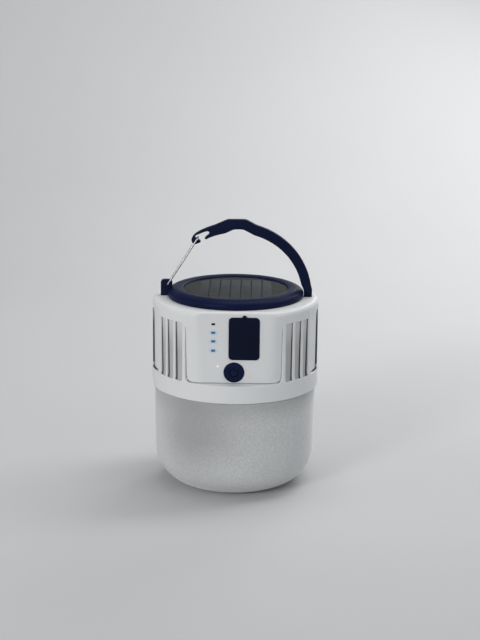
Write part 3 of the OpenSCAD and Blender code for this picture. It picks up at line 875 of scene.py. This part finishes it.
def housing_mesh():
    A = housing_columns()
    zs = [SEAM]
    zs += [SEAM + 0.8 - 0.8 * cos(radians(a)) for a in (25, 45, 60, 75, 90)]
    zs += [SEAM + q for q in (1.4, 2.4, 4.0, 6.0, 8.0, 9.2)]
    zs += [LEDGE - 0.3, LEDGE - 0.2, LEDGE - 0.1, LEDGE - 0.03, LEDGE]
    zs += [LEDGE + 0.002, LEDGE + 0.12, LEDGE + 0.25, LEDGE + 0.4, LEDGE + 0.6, LEDGE + 0.85, LEDGE + 1.15, LEDGE + 1.5]
    zs += list(np.arange(LEDGE + 1.9, LEDGE + 5.0, 0.45))
    zs += list(np.arange(LEDGE + 5.4, TOP - 4, 1.35))
    zs += [TOP - 4, TOP - 3.4, TOP - 2.8, TOP - 2.2, TOP - 1.6, TOP - 1.1, TOP - 0.7, TOP - 0.45, TOP - 0.25, TOP - 0.12, TOP, TOP + 0.12, TOP + 0.25, TOP + 0.45, TOP + 0.8, TOP + 1.3]
    zs += list(np.arange(TOP + 1.8, SH - 2.9, 1.0))
    zs += [SH - 2.8 + 2.8 * sin(radians(a)) for a in (0, 8, 16, 24, 32, 40, 48, 56, 64, 72, 80, 86, 90)]
    zs = sorted(zs)
    Z = np.array(zs)
    AA, ZZ = np.meshgrid(A, Z)
    r0 = np.full_like(ZZ, BR + 0.2)
    lo = ZZ < SEAM + 0.8
    r0[lo] = BR + 0.2 - 0.8 + np.sqrt(np.maximum(0.64 - (SEAM + 0.8 - ZZ[lo]) ** 2, 0))
    t = sstep((ZZ - (LEDGE + 0.3)) / 2.7)
    r0 = r0 - 0.2 * t
    hi = ZZ > SH - 2.8
    r0[hi] = 43.2 + np.sqrt(np.maximum(2.8 ** 2 - (ZZ[hi] - (SH - 2.8)) ** 2, 0))
    up = np.clip((ZZ - LEDGE) / (TOP - LEDGE), 0, 1)
    fade = 1 - sstep((ZZ - (TOP - 3.2)) / 3.6)
    D = np.zeros_like(ZZ)
    gap = np.zeros_like(ZZ)
    m, d = rect_mask(AA, ZZ, 0, 34.7, LEDGE, 3.5, 0.10)
    gap = np.maximum(gap, 1 - sstep((np.abs(d + 0.20) - 0.12) / 0.12))
    D = np.maximum(D, m * (0.9 - 0.75 * up) * fade)
    m, d = rect_mask(AA, ZZ, 180, 34.7, LEDGE, 3.5, 0.10)
    gap = np.maximum(gap, 1 - sstep((np.abs(d + 0.20) - 0.12) / 0.12))
    D = np.maximum(D, m * (0.9 - 0.75 * up) * fade)
    # groove marks the groove floors and dark marks the foot of the ledge, the outer groove edges and the gaps; both get
    # painted shade
    groove = np.zeros_like(ZZ)
    dark = np.zeros_like(ZZ)
    for g in GROOVES:
        for c in (g, -g, 180 - g, g - 180):
            m, d = rect_mask(AA, ZZ, c, 3.15, LEDGE, 0.8, 0.11)
            top = 1 - sstep((ZZ - (TOP - 0.25)) / 0.5)
            q = np.abs((AA + 180) % 360 - 180)
            q = np.minimum(q, 180 - q)
            ramp_in = np.clip((q - (g - 3.15)) / 6.3, 0, 1)
            D = np.maximum(D, m * (0.40 + 0.95 * ramp_in) * (1 - 0.4 * up) * top)
            # painted shade along the deep outer edge of each groove
            line = (q > g + 2.25) & (q < g + 3.2) & (d < 0.05) & (ZZ < TOP + 0.2)
            dark = np.maximum(dark, line.astype(float))
            groove = np.maximum(groove, ((d < 0.02) & (ZZ < TOP + 0.26)).astype(float))
    for c in (72.25, -72.25, 107.75, -107.75):
        m, d = rect_mask(AA, ZZ, c, 9.75, LEDGE, 4.0, 0.10)
        q = np.abs((AA + 180) % 360 - 180)
        q = np.minimum(q, 180 - q)
        soft_front = sstep((q - 62.5) / 2.6)
        gap = np.maximum(gap, (1 - sstep((np.abs(d + 0.30) - 0.22) / 0.12)) * sstep((q - 66) / 6) * 1.25)
        long_fade = 1 - sstep((ZZ - (TOP - 2)) / 7.5)
        D = np.maximum(D, m * soft_front * (1.0 - 0.2 * up) * long_fade)
        # painted shade along the outer edges of the side recesses
        dark = np.maximum(dark, ((np.abs(d) < 0.16) & (q > 72) & (ZZ < TOP + 1.6)).astype(float))
    ca = np.cos(np.radians(AA))
    yf = np.full_like(ZZ, FLAT)
    tt = ZZ > SH - 1.6
    yf[tt] = FLAT - 1.6 + np.sqrt(np.maximum(1.6 ** 2 - (ZZ[tt] - (SH - 1.6)) ** 2, 0))
    rf = np.where(ca > 0.3, yf / np.maximum(ca, 0.3), 1e3)
    above = ZZ > LEDGE + 0.001
    # painted shade in the gaps round the panels
    dark = np.maximum(dark, ((gap > 0.45) & (ZZ < TOP - 1.5)).astype(float))
    gap_d = gap * (0.75 - 0.5 * up) * (1 - sstep((ZZ - (TOP - 9)) / 8))
    R = np.where(above, smin(r0 - D, rf, 1.5) - gap_d, r0)
    k_up = int(np.argmax(Z > LEDGE + 0.001))
    step = np.clip((BR + 0.2 - R[k_up]) / 0.5, 0, 1)
    for k in range(len(Z)):
        if LEDGE - 0.31 < Z[k] <= LEDGE + 0.0005:
            R[k] -= step * (0.3 - sqrt(max(0.09 - (Z[k] - (LEDGE - 0.3)) ** 2, 0)))
    a = np.radians(A)
    cin = np.where(np.cos(a) > 0.3, (FLAT - 2.4) / np.maximum(np.cos(a), 0.3), 1e3)
    rin = np.minimum(43.2, cin)
    loops = [(R[k], Z[k]) for k in range(len(Z))]
    one = np.ones_like(a)
    loops += [(37.9 * one, SH), (24.25 * one, SH), (24 * one, SH - 0.25), (24 * one, SH - 2.5), (rin - 0.01, SH - 2.5),
              (rin, LEDGE - 2.4 + 0.001), (43.2 * one, LEDGE - 2.4), (43.2 * one, SEAM)]
    nA, m = len(A), len(loops)
    vs = []
    for r, z in loops:
        vs += list(zip(r * np.sin(a), -r * np.cos(a), [z] * nA))
    fs, mi = [], []
    for k in range(m):
        k2 = (k + 1) % m
        for i in range(nA):
            j = (i + 1) % nA
            fs.append((k * nA + i, k * nA + j, k2 * nA + j, k2 * nA + i))
            g = 0
            # slot 1: painted shade of the groove floors; slot 2: painted shade at the foot of the ledge, the groove
            # edges and the gaps
            if k_up <= k < len(Z) - 1 and groove[k, i] and groove[k, j] and groove[k2, i] and groove[k2, j]:
                g = 1
            if k_up - 1 <= k < len(Z) - 1 and dark[k, i] + dark[k, j] + dark[k2, i] + dark[k2, j] >= 3:
                g = 2
            mi.append(g)
    me = bpy.data.meshes.new("housing_shell")
    me.from_pydata([tuple(c * MM for c in v) for v in vs], [], fs)
    me.update()
    me.materials.append(MAT["shell"])
    me.materials.append(MAT["groove"])
    me.materials.append(MAT["gap"])
    me.polygons.foreach_set("material_index", mi)
    bm = bmesh.new()
    bm.from_mesh(me)
    bmesh.ops.recalc_face_normals(bm, faces=bm.faces)
    bm.to_mesh(me)
    bm.free()
    return new_obj("housing_shell", me)


def cutter(*parts):
    s = Solid()
    for vs, fs in parts:
        s.add(vs, fs)
    return s.build("cutter", MAT["black"], 0)


def flat_cut(outline, y0, y1):
    return soft_prism(outline, [(y0, 0), (y1, 0)])


def z_cyl(x, y, r, z0, z1, n=48):
    return soft_prism(circle_pts(x, y, r, n), [(z0, 0), (z1, 0)], "z")


shell = housing_mesh()
boolean(shell, [cutter(
    flat_cut(rrect_pts(5.4, SH - 14.5, 16.6, 23.4, 2.2, 10), -44, -39.8),
    *[flat_cut(rrect_pts(LAMP_X, z, 2.4, 1.4, 0.3, 4), -44, -37) for z in LAMPS],
    flat_cut(rrect_pts(LAMP_X, DASH_Z, 2.0, 1.1, 0.25, 4), -44, -37),
    flat_cut(circle_pts(-8.65, SH - 29.7, 0.6, 32), -44, -37),
    flat_cut(circle_pts(0.1, SH - 33, 5.6, 96), -44, -37))])
boolean(shell, [cutter(
    flat_cut(rrect_pts(5.4, SH - 10, 13.6, 6.2, 0.4, 4), -44, -37),
    flat_cut(rrect_pts(5.4, SH - 21, 9.5, 3.8, 1.6, 8), -44, -37),
    flat_cut(circle_pts(5.55, SH - 2.2, 0.65, 32), -44, -38.8),
    soft_prism([(38.2, -1.9), (42.0, -1.9), (42.0, 1.9), (38.2, 1.9)], [(SH - 3, 0), (SH + 1, 0)], "z"),
    soft_prism([(-41, -1.9), (-35.9, -1.9), (-35.9, 1.9), (-41, 1.9)], [(SH - 3, 0), (SH + 1, 0)], "z"),
    *[z_cyl(33 * cos(radians(q)), 33 * sin(radians(q)), 1.3, SH - 3, SH + 1) for q in (45, 135, 225, 315)])])
# screw bosses with their webs, and the board posts
inner = Solid()
bz = SEAM + 6.85
boss = turned([(1.1, bz), (3.05, bz), (3.2, bz + 0.15), (3.2, bz + 11.7), (2.9, bz + 12), (0, bz + 12), (0, bz + 10.1), (1.1, bz + 10.1)], 48)
for q in (-30, 60, 120, 210):
    c, s = cos(radians(q)), sin(radians(q))
    inner.add([(x + 35.5 * c, y + 35.5 * s, z) for x, y, z in boss[0]], boss[1])
    w = soft_prism([(37.2, -1), (43.4, -1), (43.4, 1), (37.2, 1)], eased(SEAM + 7.8, SEAM + 18.8, 0.3), "z")
    inner.add([(x * c - y * s, x * s + y * c, z) for x, y, z in w[0]], w[1])
post = turned([(0.95, 27.6), (2.1, 27.6), (2.2, 27.7), (2.2, 39.4), (0, 39.4), (0, 34.6), (0.95, 34.6)], 40)
for x in (-15.2, 15.2):
    for z in (SH - 35, SH - 6):
        inner.add(along_y(post[0], x, z), post[1])
inner_ob = inner.build("housing_bosses", MAT["shell"])
bm = bmesh.new()
bm.from_mesh(shell.data)
bm.from_mesh(inner_ob.data)
bm.to_mesh(shell.data)
bm.free()
bpy.data.objects.remove(inner_ob)
smooth_angle(shell, 42)
place(shell, "housing", "housing", "white_shell")

# ---------------------------------------------------------------- light cup
prof = [(0, 0), (20.5, 0), (24.4, 0)]
prof += [(24.4 + 20 * sin(radians(a)), 20 - 20 * cos(radians(a))) for a in range(3, 91, 3)]
prof += [(44.4 + 0.4 * k / 8, 20 + 35.4 * k / 8) for k in range(1, 9)]
prof += [(44.8 - 0.5 + 0.5 * cos(radians(a)), 55.4 + 0.5 * sin(radians(a))) for a in (22, 45, 67, 90)]
prof += [(42.9, 55.9), (42.9, 58.5), (41.2, 58.5), (41.2, 60.5), (42.9, 60.5), (42.9, 63.1), (42.5, 63.5), (39.6, 63.5), (39.6, 54.5), (42.8, 51.5)]
prof += [(42.4, 20)] + [(24.4 + 18 * sin(radians(a)), 20 - 18 * cos(radians(a))) for a in range(87, -1, -3)]
prof += [(0, 2)]
s = Solid().add(*turned(prof, 288, closed=False))
cup = s.build("cup", MAT["frost"], 35)
place(cup, "diffuser", "housing", "frosted_cup")
# O-ring
s = Solid().add(*turned([(42.2 + 0.9 * cos(radians(a)), SEAM + 3.3 + 0.9 * sin(radians(a))) for a in range(0, 360, 18)], 160))
place(s.build("cup_seal", MAT["seal"], 60), "diffuser_seal", "housing", "seal_rubber")

# ---------------------------------------------------------------- top ring
rp = [(26, 0), (37.2, 0), (37.6, 1.2), (37.6, 2.7), (36.7, 3.8), (35, 4.7), (33.2, 5.2), (31.2, 5.2), (29.7, 4.9), (29.1, 4.55), (29.1, 2.5), (26, 2.5)]
rr = [0.1, 0.2, 0.6, 1.6, 5, 7, 3, 2.5, 1.2, 0.25, 0.1, 0.1]
rp = fillet(rp, rr, 5)
s = Solid().add(*turned([(r, SH + z) for r, z in rp], 288))
ring = s.build("shoulder_ring", MAT["ring"], 0)
boolean(ring, [cutter(
    soft_prism([(-42, -2.4), (-35.1, -2.4), (-35.1, 2.4), (-42, 2.4)], [(SH - 1, 0), (SH + 8, 0)], "z"),
    *[z_cyl(33 * cos(radians(q)), 33 * sin(radians(q)), 1.1, SH - 1, SH + 3.8) for q in (45, 135, 225, 315)])])
smooth_angle(ring, 32)
place(ring, "top_ring", "housing", "navy_ring")

# ---------------------------------------------------------------- panel
s = Solid().add(*turned([(0, SH + 4.15), (27.95, SH + 4.15), (28.0, SH + 3.92), (28.8, SH + 3.92), (28.88, SH + 4.0), (28.88, SH + 4.28),
                         (28.6, SH + 4.43), (28.0, SH + 4.47), (20, SH + 4.49), (10, SH + 4.5), (0, SH + 4.5)], 256, closed=False))
place(s.build("panel_laminate", MAT["laminate"], 40), "panel_cover", "housing", "clear_laminate")
s = Solid()
for i in range(7):
    cx = (i - 3) * 5.8
    out = []
    for x, sg in ((cx - 2.55, -1), (cx + 2.55, -1), (cx + 2.55, 1), (cx - 2.55, 1)):
        out.append((x, sg * min(21.8, sqrt(max(27.4 ** 2 - x * x, 0)))))
    # the ends of the outer strips follow the disc
    pts = fillet(out, [0.35] * 4, 4)
    s.add(*soft_prism(pts, [(SH + 3.9, 0), (SH + 4.03, 0), (SH + 4.05, 0.03)], "z"))
    for f in (-0.5, 0.5):
        h = abs(out[0][1]) if abs(out[0][1]) < abs(out[1][1]) else abs(out[1][1])
        x0 = cx + f * 2.6
        s.add(*soft_prism([(x0 - 0.16, -h + 0.5), (x0 + 0.16, -h + 0.5), (x0 + 0.16, h - 0.5), (x0 - 0.16, h - 0.5)],
                          [(SH + 4.03, 0), (SH + 4.075, 0), (SH + 4.09, 0.03)], "z"))
place(s.build("cell_strips", MAT["cell"], 40), "solar_cells", "housing", "solar_cell")

# ---------------------------------------------------------------- handle
PV = (-37.7, 6.0)
op = lambda t: (42.2 * cos(radians(t)), 41.2 * sin(radians(t)))
ip = lambda t: (36.9 * cos(radians(t)), 35.5 * sin(radians(t)))
outline = [(37.8, 0), (42.3, 0), (42.3, 4.4)] + [op(t) for t in range(8, 73, 4)]
outline += [(11.4, 39.7), (5.6, 42.8), (-4.6, 42.8), (-11.8, 39.6)] + [op(t) for t in (110, 114, 118)]
outline += [(-22.3, 34.9), (-23.9, 33.2), (-24.6, 31.5), (-24.4, 30.2), (-23.6, 29.2), (-22.5, 28.8), (-21.4, 29.1), (-19.7, 29.9), (-19.4, 30.3)]
outline += [(PV[0] + 30.7 * cos(radians(t)), PV[1] + 30.7 * sin(radians(t))) for t in (54, 56, 58, 60)]
outline += [(-22.7, 33.1), (-22, 33.9), (-20.2, 34.6), (-17.2, 35.9), (-15.7, 36.2), (-14.9, 35.9), (-14.6, 35.2), (-15, 34.5),
            (-16.4, 33.3), (-17.3, 32.4), (-17.1, 31.8), (-16.3, 31.6)]
outline += [ip(t) for t in range(114, 101, -4)] + [(-6, 35.1), (-1, 37.4), (3.8, 37.4), (10.2, 34.1)]
outline += [ip(t) for t in range(70, 13, -4)] + [(36.3, 6.8), (37.3, 4.7), (37.8, 3.3)]
rad = []
for i, p in enumerate(outline):
    a, b, c = Vector(outline[i - 1]), Vector(p), Vector(outline[(i + 1) % len(outline)])
    dfl = degrees((b - a).angle(c - b))
    corner = dfl > 24 and min((b - a).length, (c - b).length) > 1.6
    rad.append(0.02 if p[1] == 0 else 5.0 if p in ((11.4, 39.7), (5.6, 42.8), (-4.6, 42.8), (-11.8, 39.6), (-6, 35.1), (-1, 37.4), (3.8, 37.4), (10.2, 34.1)) else 0.5 if corner else 900)
hook = fillet(outline, rad, 5)
s = Solid().add(*soft_prism([(x, SH + z) for x, z in hook], eased(-1.8, 1.8, 0.42, 5)))
arm = s.build("hook_handle", MAT["arm"], 0)
cyl = [(PV[0] + 32.6 * cos(2 * pi * i / 180), SH + PV[1] + 32.6 * sin(2 * pi * i / 180)) for i in range(180)]
boolean(arm, [cutter(flat_cut(cyl, -5, -1.3), flat_cut(cyl, 1.3, 5), z_cyl(40.05, 0, 0.95, SH - 3, SH + 6))], self_cross=True)
print("ARM faces", len(arm.data.polygons), [round(v / MM, 1) for v in arm.dimensions])
tang = Solid().add(*soft_prism([(38.3, -1.8), (41.9, -1.8), (41.9, 1.8), (38.3, 1.8)], [(SH - 2.3, 0.15), (SH - 2.1, 0), (SH + 0.1, 0)], "z")).build("t", MAT["arm"], 0)
boolean(tang, [cutter(z_cyl(40.05, 0, 0.95, SH - 3, SH + 6))])
bm = bmesh.new(); bm.from_mesh(arm.data); bm.from_mesh(tang.data); bm.to_mesh(arm.data); bm.free()
bpy.data.objects.remove(tang)
smooth_angle(arm, 34)
place(arm, "handle_arm", "housing", "navy_handle")

# lug with its foot
s = Solid().add(*soft_prism(rrect_pts(-38.35, SH + 4.4, 6.3, 8.8, 1.7, 8), eased(-1.35, 1.35, 0.3, 4)))
s.add(*soft_prism(rrect_pts(-38.35, SH + 2.0, 6.3, 4.0, 0.5, 5), eased(-2.3, 2.3, 0.4, 4)))
s.add(*soft_prism([(-40.9, -1.8), (-36.0, -1.8), (-36.0, 1.8), (-40.9, 1.8)], [(SH - 2.3, 0.12), (SH - 2.15, 0), (SH + 0.15, 0)], "z"))
lug = s.build("gate_block", MAT["arm"], 0)
md = lug.modifiers.new("r", "BOOLEAN")
lug.modifiers.remove(md)
bores = cutter(flat_cut(circle_pts(PV[0], SH + PV[1], 0.58, 40), -4, 4), z_cyl(-38.45, 0, 0.95, SH - 3, SH + 3.4))
md = lug.modifiers.new("b", "BOOLEAN")
md.operation = "DIFFERENCE"; md.solver = "EXACT"; md.use_self = True; md.object = bores
apply_mods(lug)
bpy.data.objects.remove(bores)
smooth_angle(lug, 34)
place(lug, "gate_lug", "housing", "navy_handle")

# wire gate: one length of wire, bent at its four corners
def gate_path():
    p = [(0, 0.3), (0, 0.9), (0, 1.45)]
    p += [(0.6 - 0.6 * cos(radians(a)), 1.45 + 0.6 * sin(radians(a))) for a in range(10, 91, 10)]
    p += [(0.6 + 30.3 * k / 10, 2.05) for k in range(1, 11)]
    p += [(30.9 + 0.6 * sin(radians(a)), 1.45 + 0.6 * cos(radians(a))) for a in range(10, 91, 10)]
    p += [(31.5, 0.0)]
    return p + [(u, -v) for u, v in p[-2::-1]]


gp = gate_path()
g = radians(57.7)
vs, fs = [], []
K = 28
for i, (u, v) in enumerate(gp):
    a, b = gp[max(i - 1, 0)], gp[min(i + 1, len(gp) - 1)]
    du, dv = b[0] - a[0], b[1] - a[1]
    L = sqrt(du * du + dv * dv)
    nu, nv = -dv / L, du / L
    rr_ = 0.5 if 0 < i < len(gp) - 1 else 0.44
    for k in range(K):
        c, s_ = cos(2 * pi * k / K), sin(2 * pi * k / K)
        uu, yy, ww = u + rr_ * c * nu, v + rr_ * c * nv, rr_ * s_
        vs.append((PV[0] + uu * cos(g) - ww * sin(g), yy, SH + PV[1] + uu * sin(g) + ww * cos(g)))
n = len(gp)
fs.append(tuple(range(K))); fs.append(tuple(range((n - 1) * K, n * K))[::-1])
for i in range(n - 1):
    for k in range(K):
        j = (k + 1) % K
        fs.append((i * K + k, i * K + j, (i + 1) * K + j, (i + 1) * K + k))
place(Solid().add(vs, fs).build("gate_wire", MAT["steel_wire"], 50), "wire_gate", "wire_gate", "steel_wire")

# ---------------------------------------------------------------- charge window, port cover, button
s = Solid().add(*soft_prism(rrect_pts(LAMP_X, DASH_Z, 1.96, 1.06, 0.25, 5), eased_one(-40.74, -28.9, 0.08, 3)))
place(s.build("charge_lens", MAT["dark"], 36), "charge_window", "housing", "dark_window")
s = Solid().add(*soft_prism(rrect_pts(5.4, SH - 14.5, 16.2, 23, 2, 12), eased_one(-41.6, -39.85, 0.5, 6)))
HZ = SH - 2.35
tab = [(-41.6, SH - 3.9), (-41.6, HZ - 0.1)] + [(-41.2 - 0.4 * cos(radians(a)), HZ + 0.4 * sin(radians(a))) for a in range(0, 181, 15)] + [(-40.8, SH - 3.9)]
s.add(*soft_prism(tab, eased(4.4, 6.7, 0.18, 4), "x"))
s.add(*soft_prism(rrect_pts(5.4, SH - 10, 11.4, 4.1, 0.3, 4), [(-39.9, 0), (-39.05, 0), (-38.9, 0.15)]))
s.add(*soft_prism(rrect_pts(5.4, SH - 21, 7.4, 1.8, 0.8, 6), [(-39.9, 0), (-39.22, 0), (-39.1, 0.12)]))
place(s.build("port_flap", MAT["cover"], 34), "port_cover", "port_cover", "cover_rubber")
s = Solid().add(*[(along_y(v_, 5.55, SH - 2.2), f_) for v_, f_ in [turned([(0, 38.9), (0.5, 38.9), (0.6, 39.0), (0.6, 40.65), (0.5, 40.75), (0, 40.75)], 40, closed=False)]][0])
place(s.build("flap_anchor", MAT["cover"], 34), "cover_tether", "housing", "cover_rubber")

bp = [(0, 41.6), (3.0, 41.6), (4.7, 41.6)] + [(4.7 + 0.7 * sin(radians(a)), 41.1 + 0.5 * cos(radians(a))) for a in (15, 30, 45, 60, 75, 90)]
bp += [(5.4, 38.3), (6.2, 38.3), (6.3, 38.2), (6.3, 37.1), (1.6, 37.1), (1.6, 32.8), (1.5, 32.7), (0, 32.7)]
v_, f_ = turned(bp, 128, closed=False)
btn = Solid().add(along_y(v_, 0.1, SH - 33), f_).build("press_button", MAT["button"], 0)
arc = [(2.4 * cos(radians(a)), 2.4 * sin(radians(a))) for a in range(125, 416, 6)] + [(1.9 * cos(radians(a)), 1.9 * sin(radians(a))) for a in range(413, 124, -6)]
bar = rrect_pts(0, 2.05, 0.5, 1.7, 0.2, 4)
boolean(btn, [cutter(flat_cut([(0.1 + x, SH - 33 + z) for x, z in arc], -43, -41.3), flat_cut([(0.1 + x, SH - 33 + z) for x, z in bar], -43, -41.3))])
btn.data.materials.append(MAT["symbol"])
for p_ in btn.data.polygons:
    c_ = p_.center / MM
    if -41.55 < c_.y < -41.0 and sqrt((c_.x - 0.1) ** 2 + (c_.z - (SH - 33)) ** 2) < 3.1:
        p_.material_index = 1
smooth_angle(btn, 32)
place(btn, "power_button", "power_button", "button_navy")
